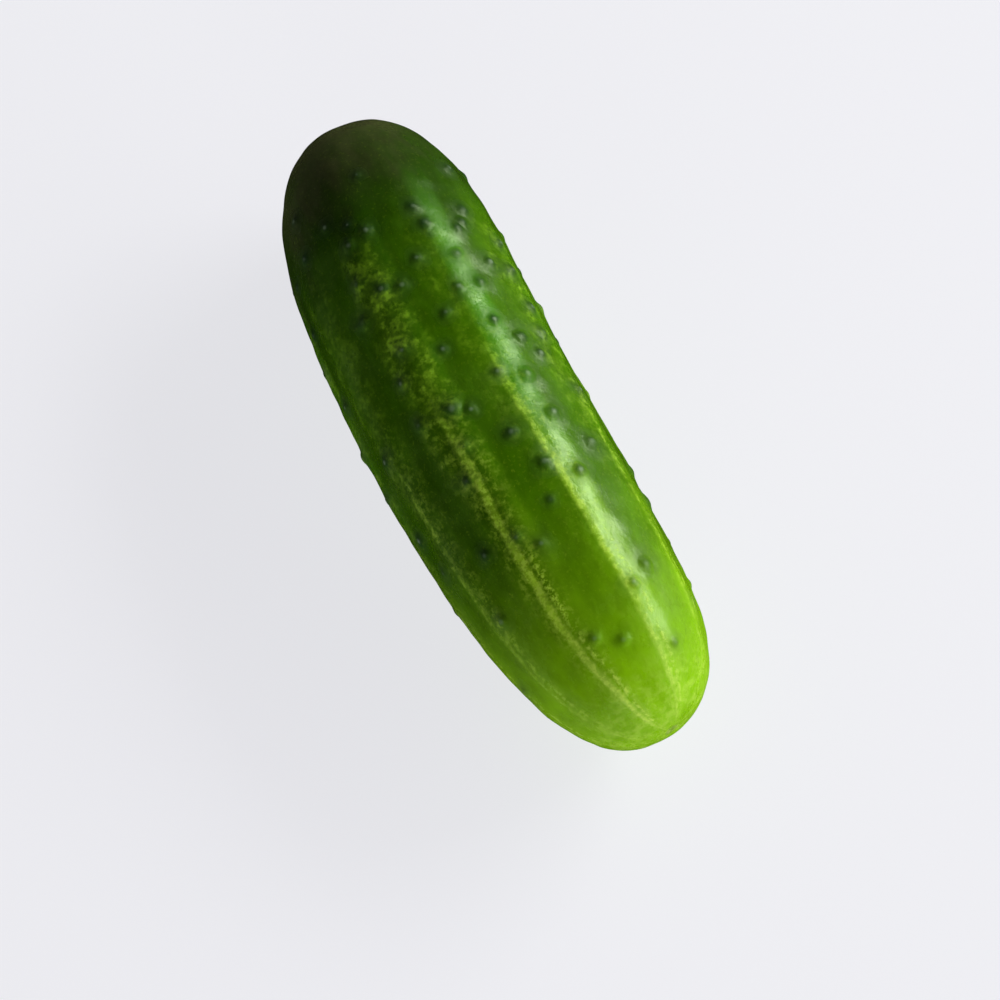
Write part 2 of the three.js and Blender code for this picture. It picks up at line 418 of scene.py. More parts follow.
def make_skin_tree(place_group):
    number = "NodeSocketFloat"
    inputs = [
        ("Geometry", "NodeSocketGeometry", None),
        ("Wart seeds", "NodeSocketObject", None),
        ("Material", "NodeSocketMaterial", None),
        ("Wart rise", number, WART_RISE),
        ("Seat depth", number, SEAT_DEPTH),
        ("Room", "NodeSocketVector", None),
        ("Undulation", number, SWELL),
        ("Dimpling", number, DIMPLING),
        ("Seed", number, UNEVEN_SEED),
    ]
    tree, given = new_tree("cucumber_skin", inputs, [("Geometry", "NodeSocketGeometry")])
    position = Wire(tree, tree.nodes.new("GeometryNodeInputPosition").outputs[0])
    normal = Wire(tree, tree.nodes.new("GeometryNodeInputNormal").outputs[0])

    # The net is a tube of unit radius: x is along, and its section gives around.
    net_x, net_y, net_z = split(tree, position)
    around = calc(tree, "DEGREES", calc(tree, "ARCTAN2", net_y, net_z))
    placed = put_group(tree, place_group, Along=net_x, Around=around)
    off_crest = (calc(tree, "FRACT", placed["Phase"] + 0.5) - 0.5) * 2.0
    turned = calc(tree, "FLOORED_MODULO", around - FIRST_CREST, 360.0) + FIRST_CREST

    def blend_between_ridges(key):
        """A ridge's own value on its crest, blending into the next ridge's across the facet."""
        value = RIDGES[0][key]
        for i, ridge in enumerate(RIDGES):
            step = RIDGES[(i + 1) % len(RIDGES)][key] - ridge[key]
            value = ramp_between(tree, turned, CRESTS[i], CRESTS[i + 1], 0.0, step) + value
        return value

    body = store(tree, given["Geometry"], "along", net_x / FRUIT_LENGTH)
    body = store(tree, body, "off_crest", off_crest)
    body = store(tree, body, "to_crest", calc(tree, "ABSOLUTE", off_crest))
    for key in ("line", "net", "band", "lean"):
        body = store(tree, body, key, blend_between_ridges(key))
    body = store(tree, body, "from_spine", placed["From spine"])
    body = move_points(tree, body, position=placed["Point"])

    # Soft unevenness, long and short, as in anything grown.
    swell = noise(tree, position, SWELL_SCALE, 1.0, seed=given["Seed"]) - 0.5
    dimple = noise(tree, position, DIMPLE_SCALE, 1.0, seed=given["Seed"] + 1.0) - 0.5
    uneven = swell * given["Undulation"] * NOISE_GAIN + dimple * given["Dimpling"] * NOISE_GAIN
    body = move_points(tree, body, offset=vector_calc(tree, "SCALE", normal, uneven))

    bound = add_node(tree, "GeometryNodeBoundBox", {"Geometry": body})
    lowest = split(tree, Wire(tree, bound.outputs["Min"]))[2]
    floor_z = lowest + given["Seat depth"]

    # Each point takes the wart nearest to it.
    info = add_node(tree, "GeometryNodeObjectInfo", {"Object": given["Wart seeds"]})
    seeds = Wire(tree, info.outputs["Geometry"])
    seed_place = put_group(
        tree, place_group,
        Along=named_attribute(tree, "along"), Around=named_attribute(tree, "around"),
    )
    seeds = move_points(tree, seeds, position=seed_place["Point"])
    to_nearest = {"Geometry": seeds, "Sample Position": position}
    nearest = Wire(tree, add_node(tree, "GeometryNodeSampleNearest", to_nearest).outputs["Index"])
    width, darkness, tip = (
        sample_at(tree, seeds, named_attribute(tree, name), nearest, "FLOAT")
        for name in ("width", "darkness", "tip")
    )
    centre = sample_at(tree, seeds, position, nearest, "FLOAT_VECTOR")
    distance = vector_calc(tree, "DISTANCE", position, centre, output="Value")
    ragged = noise(tree, position, WART_RAGGED["scale"], seed=given["Seed"] + 5.0) - 0.5
    radius = width * WART_RADIUS_SHARE
    reach = distance / radius * (ragged * WART_RAGGED["share"] + 1.0)
    dome = 1.0 - ramp_between(tree, reach, *WART_DOME)
    skirt = 1.0 - ramp_between(tree, reach, *WART_SKIRT)
    height = width**2.0 * given["Wart rise"]
    body = store(tree, body, "wart_darkness", darkness)
    body = store(tree, body, "wart_tip", tip)
    body = store(tree, body, "wart_reach", reach)
    rise = height * (dome * DOME_SHARE + skirt * (1.0 - DOME_SHARE))
    body = move_points(tree, body, offset=vector_calc(tree, "SCALE", normal, rise))

    # The seat is flat, and everything comes into the shared frame, in metres, within its room.
    whole = add_node(tree, "GeometryNodeBoundBox", {"Geometry": body})
    low = split(tree, Wire(tree, whole.outputs["Min"]))
    high = split(tree, Wire(tree, whole.outputs["Max"]))
    room = split(tree, given["Room"])
    spans = (high[0] - low[0], high[1] - low[1], high[2] - floor_z)
    fits = [across / span for across, span in zip(room, spans)]
    fit = calc(tree, "MINIMUM", fits[0], calc(tree, "MINIMUM", fits[1], fits[2]))
    x, y, z = split(tree, position)
    settled = combine(
        tree,
        x - (low[0] + high[0]) * 0.5,
        y - (low[1] + high[1]) * 0.5,
        calc(tree, "MAXIMUM", z, floor_z) - floor_z,
    )
    settled = vector_calc(tree, "SCALE", settled, fit)
    body = move_points(tree, body, position=settled)
    body = Wire(tree, add_node(tree, "GeometryNodeRealizeInstances", {"Geometry": body}).outputs[0])
    finish = {"Geometry": body, "Material": given["Material"]}
    dressed = add_node(tree, "GeometryNodeSetMaterial", finish)
    return finish_tree(tree, Geometry=Wire(tree, dressed.outputs[0]))


# ---- the net that the skin tree moves into place ----


def profile_radius(along):
    """The skin's distance from the spine, without its facets, at places along the fruit."""
    x = along - FRUIT_LENGTH / 2
    share = np.abs(x) / (FRUIT_LENGTH / 2)
    barrel = np.where(x < 0, STEM_HALF["barrel"], BLOSSOM_HALF["barrel"])
    power = np.where(x < 0, STEM_HALF["power"], BLOSSOM_HALF["power"])
    fall = barrel * share**2 + (1 - barrel) * share**power
    return BODY_RADIUS * np.sqrt(np.maximum(1 - fall, 0))


def net_rows():
    """Places along the fruit, a net pitch apart over the skin and closer together at the tips."""
    turn = np.linspace(0, math.pi, PROFILE_STEPS + 1)
    along = FRUIT_LENGTH / 2 * (1 - np.cos(turn))
    run = np.hypot(np.diff(along), np.diff(profile_radius(along)))
    arc = np.concatenate([[0], np.cumsum(run)])
    from_tip = np.minimum(arc, arc[-1] - arc)
    pitch = np.where(from_tip < TIP_REACH, TIP_PITCH, NET_PITCH)
    rows = np.concatenate([[0], np.cumsum(run / pitch[1:])])
    count = int(rows[-1])
    return np.interp(np.linspace(0, rows[-1], count + 1)[1:-1], rows, along)


def find_edges_near(net, places, reach):
    """The edges of the quads that lie within a reach of a wart, in wart widths."""
    chosen = set()
    for face in net.faces:
        if len(face.verts) != 4:
            continue
        middle = face.calc_center_median()
        side = np.degrees(math.atan2(middle.y, middle.z))
        gap = np.radians((places[:, 1] - side + 180) % 360 - 180) * BODY_RADIUS
        if np.min(np.hypot(places[:, 0] - middle.x, gap) - reach * places[:, 2]) < 0:
            chosen.update(face.edges)
    return [edge for edge in net.edges if edge in chosen]


def make_net(warts):
    """A tube of unit radius along X, closed at both tips, and cut finer where the warts are."""
    rows = net_rows()
    columns = len(RIDGES) * STEPS_PER_FACET
    around = np.interp(np.arange(columns) / STEPS_PER_FACET, np.arange(len(CRESTS)), CRESTS)
    angle = np.radians(around)
    verts = [(a, math.sin(b), math.cos(b)) for a in rows for b in angle]
    stem_tip = len(verts)
    blossom_tip = stem_tip + 1
    verts += [(0, 0, 0), (FRUIT_LENGTH, 0, 0)]
    faces = []
    for row in range(len(rows) - 1):
        for column in range(columns):
            after = (column + 1) % columns
            here = row * columns
            there = here + columns
            faces.append((here + column, there + column, there + after, here + after))
    last = (len(rows) - 1) * columns
    for column in range(columns):
        after = (column + 1) % columns
        faces.append((stem_tip, column, after))
        faces.append((blossom_tip, last + after, last + column))
    mesh = bpy.data.meshes.new("cucumber_skin")
    mesh.from_pydata(verts, [], faces)

    # Twice over, the quads round each wart are cut in four, the second time closer in.
    places = np.array(warts)
    net = bmesh.new()
    net.from_mesh(mesh)
    for reach in FINER_REACH:
        edges = find_edges_near(net, places, reach)
        bmesh.ops.subdivide_edges(net, edges=edges, cuts=1, use_grid_fill=True)
    bmesh.ops.recalc_face_normals(net, faces=net.faces)
    net.to_mesh(mesh)
    net.free()
    return bpy.data.objects.new("cucumber_skin", mesh)


def make_wart_seeds(warts):
    """A point for each wart, which holds its place, width and tones."""
    mesh = bpy.data.meshes.new("wart_seeds")
    mesh.from_pydata([(along, around, 0) for along, around, _ in warts], [], [])
    draw = make_draw(WART_TONE_SEED)
    rows = [(*wart, LEAST_DARKNESS + (1 - LEAST_DARKNESS) * draw(), draw()) for wart in warts]
    for column, name in enumerate(("along", "around", "width", "darkness", "tip")):
        attribute = mesh.attributes.new(name, "FLOAT", "POINT")
        attribute.data.foreach_set("value", [float(row[column]) for row in rows])
    return bpy.data.objects.new("wart_seeds", mesh)


def set_input(modifier, name, value):
    for item in modifier.node_group.interface.items_tree:
        if item.item_type == "SOCKET" and item.in_out == "INPUT" and item.name == name:
            modifier[item.identifier] = value


def make_skin(material, room):
    warts = place_warts()
    skin = make_net(warts)
    seeds = make_wart_seeds(warts)
    for piece in (skin, seeds):
        bpy.context.scene.collection.objects.link(piece)
    modifier = skin.modifiers.new("skin", "NODES")
    modifier.node_group = make_skin_tree(make_place_group())
    set_input(modifier, "Wart seeds", seeds)
    set_input(modifier, "Material", material)
    set_input(modifier, "Room", room)
    evaluated = skin.evaluated_get(bpy.context.evaluated_depsgraph_get())
    shaped = bpy.data.meshes.new_from_object(evaluated)
    skin.modifiers.remove(modifier)
    skin.data = shaped
    shaped.name = "cucumber_skin"
    shaped.polygons.foreach_set("use_smooth", [True] * len(shaped.polygons))
    bpy.data.objects.remove(seeds)
    return skin


# ---- colours ----


def rgb(*screen_values):
    """A colour given as the 0 to 255 values that a screen shows, as linear light."""
    shares = [value / 255 for value in screen_values]
    linear = [((s + 0.055) / 1.055) ** 2.4 if s > 0.04 else s / 12.92 for s in shares]
    return (*linear, 1.0)


BLACK = rgb(0, 0, 0)
FLOOR_GREY = rgb(130, 130, 131)
GLOW_GREY = rgb(238, 238, 243)

STEM_GREEN = rgb(32, 62, 5)
MIDDLE_GREEN = rgb(73, 123, 0)
# Painted shade: the green of the side away from the lights.
SHADE_SIDE_GREEN = rgb(50, 88, 0)
BLOSSOM_GREEN = rgb(143, 203, 4)
# The grey tint of the stem end: partly the skin's own colour, partly a painted sheen.
OLIVE_AND_SHEEN = rgb(100, 100, 62)
# Paler skin past the ridges, and a painted highlight past the crest at 15 degrees.
PALE_AND_HIGHLIGHT_GREEN = rgb(84, 172, 14)
RIPE_PALE_AND_HIGHLIGHT_GREEN = rgb(160, 220, 25)
FLECK_GREEN = rgb(168, 224, 48)
RIPE_FLECK_GREEN = rgb(184, 234, 48)
GLINT_GREEN = rgb(210, 246, 88)
STIPPLE_GREEN = rgb(160, 200, 50)
TIP_GREEN = rgb(190, 232, 80)
WART_GREEN = rgb(20, 52, 30)
RIPE_WART_GREEN = rgb(40, 86, 10)
# Paler wart tips: partly spines' scars, partly painted glints.
WART_TIP_AND_GLINT = rgb(150, 176, 138)
BLOOM_GREEN = rgb(120, 160, 60)
WAX_TINT = rgb(228, 255, 196)
CORK = rgb(168, 172, 96)
CORK_DARK = rgb(122, 142, 40)

# ---- the noises behind the skin's marks, with scales in waves to the millimetre ----

# Those drawn out along the fruit are slower in that direction.
DRAWN_OUT = (0.4, 1.0, 1.0)
DRIFT = {"scale": 0.07, "detail": 2.0, "roughness": 0.5, "seed": 11.0}
CLOUD = {"scale": 0.22, "detail": 3.0, "roughness": 0.6, "seed": 12.0}
GRAIN = {"scale": 1.1, "detail": 3.0, "roughness": 0.65, "seed": 13.0}
WANDER = {"scale": 0.16, "detail": 2.0, "roughness": 0.5, "seed": 21.0}
PATCHES = {"scale": 0.36, "detail": 3.0, "roughness": 0.65, "seed": 22.0}
PATCH_SPAN = (0.42, 0.62)
BLOOM = {"scale": 0.12, "detail": 3.0, "roughness": 0.6, "seed": 41.0}
RIPPLES = {"scale": 0.45, "detail": 2.0, "roughness": 0.5, "seed": 61.0}
PORES = {"scale": 2.2, "detail": 3.0, "roughness": 0.6, "seed": 62.0}
CORK_BUMPS = {"scale": 1.8, "detail": 3.0, "roughness": 0.7, "seed": 63.0}

# Grains are 1 where their noise is past the end of the span.
FINE_GRAINS = {"scale": 1.5, "span": (0.4, 0.64), "seed": 23.0}
COARSE_GRAINS = {"scale": 0.65, "span": (0.42, 0.6), "seed": 24.0}
STIPPLE_GRAINS = {"scale": 2.2, "span": (0.56, 0.72), "seed": 31.0}
TIP_GRAINS = {"scale": 0.8, "span": (0.4, 0.7), "seed": 32.0}
CORK_GRAINS = {"scale": 1.4, "span": (0.42, 0.6), "seed": 51.0}

# ---- the skin's marks ----
#
# Spans along the fruit, such as where a mark sets in or ends, are shares of its length. Places
# and edges across a ridge are shares of half a facet, counted from the crest. The rest are
# shares of full strength, unless a line says otherwise.

GROUND = {
    "greening": (0.08, 0.46),
    "ripening": (0.64, 1.02),
    "olive_and_sheen_end": (-0.04, 0.2),
    "olive_and_sheen": 0.75,
    "olive_and_sheen_push": {"aside": 0.003, "cloud": 0.2},
    "push": {"drift": 0.14, "cloud": 0.05, "aside": 0.004},
    "tone": {"cloud": 0.95, "grain": 0.55, "ripe": 0.5},
}
# Painted shade: a darker green on the -Y side, away from the lights, in millimetres from the
# middle, aslant along the fruit.
PAINTED_SHADE_SIDE = {"span": (6.0, -16.0), "drift": 12.0, "slant": 10.0, "share": 0.85}
# The paler stripe past the ridges; past the crest at 15 degrees it is a painted highlight.
PALE_AND_HIGHLIGHT_BAND = {
    "start": (0.12, 0.28),
    "ripening": (0.5, 0.75),
    "place": 0.36,
    "edge": (0.12, 0.56),
    "cloud": 0.8,
    "share": 0.5,
}
NET = {
    "start": (0.19, 0.31),
    "end": (0.45, 0.78),
    "edge": (0.3, 1.05),
    "patches": 0.85,
    "grains": 0.45,
    "ground": 0.1,
    "share": 0.95,
}
LINE = {
    "start": (0.34, 0.5),
    "end": (0.98, 1.01),
    "joining": (0.42, 0.6),
    "leaning": (0.6, 0.85),
    "wander": 0.34,
    "edge": (0.02, 0.19),
    "fine": 0.35,
    "coarse": 0.3,
    "unbroken": 0.28,
}
# Flecks lie to both sides of a line, and part off as a second line toward the blossom.
BESIDE = {"place": 0.3, "edge": (0.05, 0.42), "after": 0.5, "before": 0.45}
BESIDE_GRAINS = {"coarse": 0.5, "ground": 0.25}
PARTED = {"start": (0.7, 0.82), "edge": (0.01, 0.12), "share": 0.6}
# No mark crosses the middle of a facet, where one ridge's side ends and the next one's begins.
FACET_MIDDLE = (0.6, 0.95)
FLECKS = {"ripening": (0.5, 0.8), "paling": (0.8, 0.95), "glint": 0.6}
STIPPLE = {"span": (0.1, 0.9), "least": 0.1, "most": 0.3}
TIP_MOTTLE = {"start": (0.9, 0.99), "share": 0.5}
BLOOM_PATCHES = {"span": (0.4, 0.7), "share": 0.06}
# Marks on a wart, in wart radii from its middle.
SPOT = {"edge": (0.1, 1.15), "share": 0.78}
HALO = {"edge": (0.4, 2.2), "share": 0.22}
WART_TIP_AND_GLINT_MARK = {"edge": (0.06, 0.36), "share": 0.55}
RIPE_WART = {"greening": 1.5, "fading": 0.35}
# The corky scars end in a ragged edge, in millimetres.
SCAR_EDGE = (-0.5, 0.25)
SCAR_RAGGED = 0.8
SCAR_SHARE = {"blossom": 0.45, "stem": 0.9}

# The wax's roughness, and what each thing adds to it.
WAX_ROUGHNESS = 0.2
DULLER = {"ripe": 0.06, "bloom": 0.08, "grain": 0.12, "flecks": 0.1, "halo": 0.9, "scar": 0.4}
RIPE_HALO = 0.5
WAX_IOR = 1.45
WAX_LEVEL = 0.7

# Low relief too fine for the net, in millimetres.
RELIEF = {"ripples": 0.07, "pores": 0.03, "cork": 0.5, "flecks": 0.03}


# ---- materials ----


def start_material(name):
    material = bpy.data.materials.new(name)
    material.use_nodes = True
    tree = material.node_tree
    shader = tree.nodes["Principled BSDF"]
    return material, tree, shader


def attribute(tree, name):
    node = add_node(tree, "ShaderNodeAttribute", attribute_name=name)
    return Wire(tree, node.outputs["Fac"])


def mix_colours(tree, share, first, second):
    node = add_node(tree, "ShaderNodeMix", data_type="RGBA", clamp_factor=True)
    feed(tree, node.inputs["Factor"], share)
    feed(tree, node.inputs[6], first)
    feed(tree, node.inputs[7], second)
    return Wire(tree, node.outputs[2])


def object_places(tree):
    """Places on the piece, in millimetres."""
    coordinates = Wire(tree, tree.nodes.new("ShaderNodeTexCoord").outputs["Object"])
    return vector_calc(tree, "SCALE", coordinates, 1 / MM)


def grains(tree, places, scale, span, seed):
    """Grains that are 1 where a fine noise stands highest."""
    return ramp_between(tree, noise(tree, places, scale, 2.0, 0.6, seed), *span)


def within(tree, value, edge):
    """1 inside an edge, falling to 0 past it."""
    return 1.0 - ramp_between(tree, value, *edge)


def read_skin(tree):
    """What the skin's marks are drawn from: its places, its attributes and the broad noises."""
    places = object_places(tree)
    lengthwise = vector_calc(tree, "MULTIPLY", places, DRAWN_OUT)
    along = attribute(tree, "along")
    drift = noise(tree, places, **DRIFT) - 0.5
    cloud = noise(tree, lengthwise, **CLOUD) - 0.5
    push = GROUND["push"]
    place_along = along + drift * push["drift"] + cloud * push["cloud"]
    return SimpleNamespace(
        places=places,
        lengthwise=lengthwise,
        aside=split(tree, places)[1],
        along=along,
        place_along=place_along,
        ripe=ramp_between(tree, place_along, *GROUND["ripening"]),
        off_crest=attribute(tree, "off_crest"),
        apart=within(tree, attribute(tree, "to_crest"), FACET_MIDDLE),
        reach=attribute(tree, "wart_reach"),
        drift=drift,
        cloud=cloud,
        grain=noise(tree, lengthwise, **GRAIN) - 0.5,
    )


def ground_colour(tree, skin):
    """The colour runs from the stem to the blossom, with painted shade darkening the -Y side, away
    from the lights, and a grey tint at the stem end that is partly a painted sheen.
    """
    pushed = skin.place_along + skin.aside * GROUND["push"]["aside"]
    greened = ramp_between(tree, pushed, *GROUND["greening"])
    colour = mix_colours(tree, greened, STEM_GREEN, MIDDLE_GREEN)
    # Painted shade: the -Y side, away from the lights, is darker.
    slant = (skin.along - 0.5) * PAINTED_SHADE_SIDE["slant"]
    across = skin.aside + skin.drift * PAINTED_SHADE_SIDE["drift"] - slant
    painted_shade = ramp_between(tree, across, *PAINTED_SHADE_SIDE["span"]) * PAINTED_SHADE_SIDE["share"]
    colour = mix_colours(tree, painted_shade * greened, colour, SHADE_SIDE_GREEN)
    colour = mix_colours(tree, skin.ripe, colour, BLOSSOM_GREEN)
    # The grey tint at the stem end is partly a painted sheen.
    push = GROUND["olive_and_sheen_push"]
    pushed = skin.place_along + skin.aside * push["aside"] + skin.cloud * push["cloud"]
    olive_and_sheen = within(tree, pushed, GROUND["olive_and_sheen_end"]) * GROUND["olive_and_sheen"]
    colour = mix_colours(tree, olive_and_sheen, colour, OLIVE_AND_SHEEN)
    tone = GROUND["tone"]
    uneven = skin.cloud * tone["cloud"] + skin.grain * tone["grain"]
    value = uneven * (1.0 - skin.ripe * tone["ripe"]) + 1.0
    toned = add_node(tree, "ShaderNodeHueSaturation", {"Value": value, "Color": colour})
    return Wire(tree, toned.outputs["Color"])


def add_pale_and_highlight_bands(tree, skin, colour):
    """The skin is paler just past some ridges; past the crest at 15 degrees this paler stripe is
    also a painted highlight.
    """
    from_band = calc(tree, "ABSOLUTE", skin.off_crest - PALE_AND_HIGHLIGHT_BAND["place"])
    band = within(tree, from_band, PALE_AND_HIGHLIGHT_BAND["edge"])
    band = band * ramp_between(tree, skin.along, *PALE_AND_HIGHLIGHT_BAND["start"])
    clouded = skin.cloud * PALE_AND_HIGHLIGHT_BAND["cloud"] + PALE_AND_HIGHLIGHT_BAND["share"]
    band = band * attribute(tree, "band") * clouded * skin.apart
    ripening = ramp_between(tree, skin.along, *PALE_AND_HIGHLIGHT_BAND["ripening"])
    pale = mix_colours(tree, ripening, PALE_AND_HIGHLIGHT_GREEN, RIPE_PALE_AND_HIGHLIGHT_GREEN)
    return mix_colours(tree, band, colour, pale)


def draw_flecks(tree, skin):
    """Pale flecks along the ridges: a broken net at first, then a line with flecks beside it.
    Gives how much of the skin they cover and their colour."""
    along = skin.along
    wander = (noise(tree, skin.lengthwise, **WANDER) - 0.5) * LINE["wander"]
    lean = attribute(tree, "lean") * ramp_between(tree, along, *LINE["leaning"])
    aslant = skin.off_crest + wander - lean
    from_line = calc(tree, "ABSOLUTE", aslant)
    after_line = calc(tree, "ABSOLUTE", aslant - BESIDE["place"])
    before_line = calc(tree, "ABSOLUTE", aslant + BESIDE["place"])
    patch = ramp_between(tree, noise(tree, skin.places, **PATCHES), *PATCH_SPAN)
    fine = grains(tree, skin.places, **FINE_GRAINS)
    coarse = grains(tree, skin.places, **COARSE_GRAINS)

    netted = attribute(tree, "net")
    net = within(tree, from_line, NET["edge"])
    net = net * (patch * NET["patches"] + (1.0 - NET["patches"]))
    net = net * ramp_between(tree, along, *NET["start"]) * within(tree, along, NET["end"])
    net = net * (fine * NET["grains"] + coarse * NET["grains"] + NET["ground"])
    net = net * netted * NET["share"]

    strength = attribute(tree, "line")
    joined = ramp_between(tree, along, *LINE["joining"])
    filled = fine * LINE["fine"] + coarse * LINE["coarse"] + strength * strength * LINE["unbroken"]
    line = within(tree, from_line, LINE["edge"]) * filled * (patch + joined - patch * joined)
    after = within(tree, after_line, BESIDE["edge"])
    before = within(tree, before_line, BESIDE["edge"]) * netted
    scatter = (after * BESIDE["after"] + before * BESIDE["before"]) * fine
    scatter = scatter * (coarse * BESIDE_GRAINS["coarse"] + BESIDE_GRAINS["ground"])
    parted = within(tree, after_line, PARTED["edge"]) * fine
    parted = parted * ramp_between(tree, along, *PARTED["start"]) * PARTED["share"]
    reach = ramp_between(tree, along, *LINE["start"]) * within(tree, along, LINE["end"])
    line = (line + scatter + parted) * reach * strength

    ripening = ramp_between(tree, along, *FLECKS["ripening"])
    colour = mix_colours(tree, ripening, FLECK_GREEN, RIPE_FLECK_GREEN)
    paling = ramp_between(tree, along, *FLECKS["paling"])
    colour = mix_colours(tree, paling, colour, TIP_GREEN)
    colour = mix_colours(tree, fine * joined * FLECKS["glint"], colour, GLINT_GREEN)
    return calc(tree, "MAXIMUM", net, line) * skin.apart, colour


def add_stipple(tree, skin, colour):
    """A fine pale stipple, thickest toward the blossom, and a pale mottling at its tip."""
    thickness = ramp_between(tree, skin.along, *STIPPLE["span"], STIPPLE["least"], STIPPLE["most"])
    stipple = grains(tree, skin.places, **STIPPLE_GRAINS) * thickness
    colour = mix_colours(tree, stipple, colour, STIPPLE_GREEN)
    mottle = grains(tree, skin.places, **TIP_GRAINS)
    mottle = mottle * ramp_between(tree, skin.along, *TIP_MOTTLE["start"]) * TIP_MOTTLE["share"]
    return mix_colours(tree, mottle, colour, TIP_GREEN)


def add_warts(tree, skin, colour, halo):
    """Each wart is a dark soft spot, greener and fainter toward the blossom, with a paler tip that
    is partly a spine's scar and partly a painted glint.
    """
    spot = within(tree, skin.reach, SPOT["edge"]) * attribute(tree, "wart_darkness")
    share = calc(tree, "MAXIMUM", spot * SPOT["share"], halo)
    share = share * (1.0 - skin.ripe * RIPE_WART["fading"])
    green = mix_colours(tree, skin.ripe * RIPE_WART["greening"], WART_GREEN, RIPE_WART_GREEN)
    colour = mix_colours(tree, share, colour, green)
    # A painted glint, as well as a spine's pale scar, on each wart's tip.
    tip = within(tree, skin.reach, WART_TIP_AND_GLINT_MARK["edge"]) * attribute(tree, "wart_tip")
    tip = tip * (1.0 - skin.ripe) * WART_TIP_AND_GLINT_MARK["share"]
    return mix_colours(tree, tip, colour, WART_TIP_AND_GLINT)


def add_scars(tree, skin, colour):
    """Corky scars at the two tips. Gives the colour and where the scars are."""
    at_stem = 1.0 - calc(tree, "GREATER_THAN", skin.along, 0.5)
    radius = at_stem * (STEM_SCAR["radius"] - BLOSSOM_SCAR["radius"]) + BLOSSOM_SCAR["radius"]
    ragged = radius * (skin.grain * SCAR_RAGGED + 1.0)
    scar = within(tree, attribute(tree, "from_spine") - ragged, SCAR_EDGE)
    cork = mix_colours(tree, grains(tree, skin.places, **CORK_GRAINS), CORK_DARK, CORK)
    rise = SCAR_SHARE["stem"] - SCAR_SHARE["blossom"]
    share = scar * (at_stem * rise + SCAR_SHARE["blossom"])
    return mix_colours(tree, share, colour, cork), scar


def make_skin_material():
    """Waxy skin: dark at the stem, yellow-green at the blossom, and flecked along its ridges."""
    material, tree, shader = start_material("cucumber_skin")
    skin = read_skin(tree)
    halo = within(tree, skin.reach, HALO["edge"]) * HALO["share"]
    amount, fleck_colour = draw_flecks(tree, skin)
    bloom = ramp_between(tree, noise(tree, skin.places, **BLOOM), *BLOOM_PATCHES["span"])

    # Painted shade on the side away from the lights, and a painted highlight in the paler stripe
    # past the crest at 15 degrees.
    colour = add_pale_and_highlight_bands(tree, skin, ground_colour(tree, skin))
    colour = mix_colours(tree, amount, colour, fleck_colour)
    colour = add_stipple(tree, skin, colour)
    colour = mix_colours(tree, bloom * BLOOM_PATCHES["share"], colour, BLOOM_GREEN)
    colour = add_warts(tree, skin, colour, halo)
    colour, scar = add_scars(tree, skin, colour)
    feed(tree, shader.inputs["Base Color"], colour)

    # The wax is smooth between the warts, and duller on the flecks, warts and scars.
    roughness = WAX_ROUGHNESS + skin.ripe * DULLER["ripe"] + bloom * DULLER["bloom"]
    roughness = roughness + skin.grain * DULLER["grain"] + amount * DULLER["flecks"]
    roughness = roughness + halo * (DULLER["halo"] - skin.ripe * RIPE_HALO) + scar * DULLER["scar"]
    feed(tree, shader.inputs["Roughness"], roughness)
    shader.inputs["IOR"].default_value = WAX_IOR
    shader.inputs["Specular IOR Level"].default_value = WAX_LEVEL
    shader.inputs["Specular Tint"].default_value = WAX_TINT

    ripples = noise(tree, skin.places, **RIPPLES) * RELIEF["ripples"]
    pores = noise(tree, skin.places, **PORES) * RELIEF["pores"]
    cork = noise(tree, skin.places, **CORK_BUMPS) * scar * RELIEF["cork"]
    height = ripples + pores + cork + amount * RELIEF["flecks"]
    bump = add_node(tree, "ShaderNodeBump", {"Strength": 1.0, "Distance": MM, "Height": height})
    feed(tree, shader.inputs["Normal"], Wire(tree, bump.outputs["Normal"]))
    return material


# ---- the floor and the wall round it ----

FLOOR_REACH = 3.0
FLOOR_ROUGHNESS = 0.9
# How far from the fruit the floor fades from lit to glowing, in millimetres.
LIT_FLOOR = (120.0, 500.0)
# The share of full white that they give of themselves.
FLOOR_GLOW = 0.85
BACKDROP_GLOW = 1.0
# The wall, in metres.
BACKDROP_REACH = 2.4
BACKDROP_FOOT = 0.8
BACKDROP_HEIGHT = 3.0
BACKDROP_SIDES = 64
BACKDROP_STEPS = 12


def make_stage_piece(name, verts, faces):
    mesh = bpy.data.meshes.new(name)
    mesh.from_pydata(verts, [], faces)
    piece = bpy.data.objects.new(name, mesh)
    bpy.context.scene.collection.objects.link(piece)
    piece.visible_glossy = False
    material, tree, shader = start_material(name)
    shader.inputs["Specular IOR Level"].default_value = 0.0
    shader.inputs["Emission Color"].default_value = GLOW_GREY
    mesh.materials.append(material)
    return piece, tree, shader


def make_floor():
    """A plain pale floor: lit round the fruit, with a little light of its own so that the shadow
    stays soft, and glowing farther off as the wall does."""
    far = FLOOR_REACH
    corners = [(-far, -far, 0), (far, -far, 0), (far, far, 0), (-far, far, 0)]
    floor, tree, shader = make_stage_piece("floor", corners, [(0, 1, 2, 3)])
    away = vector_calc(tree, "LENGTH", object_places(tree), output="Value")
    lit = within(tree, away, LIT_FLOOR)
    feed(tree, shader.inputs["Base Color"], mix_colours(tree, lit, BLACK, FLOOR_GREY))
    shader.inputs["Roughness"].default_value = FLOOR_ROUGHNESS
    glow = lit * (FLOOR_GLOW - BACKDROP_GLOW) + BACKDROP_GLOW
    feed(tree, shader.inputs["Emission Strength"], glow)
    return floor


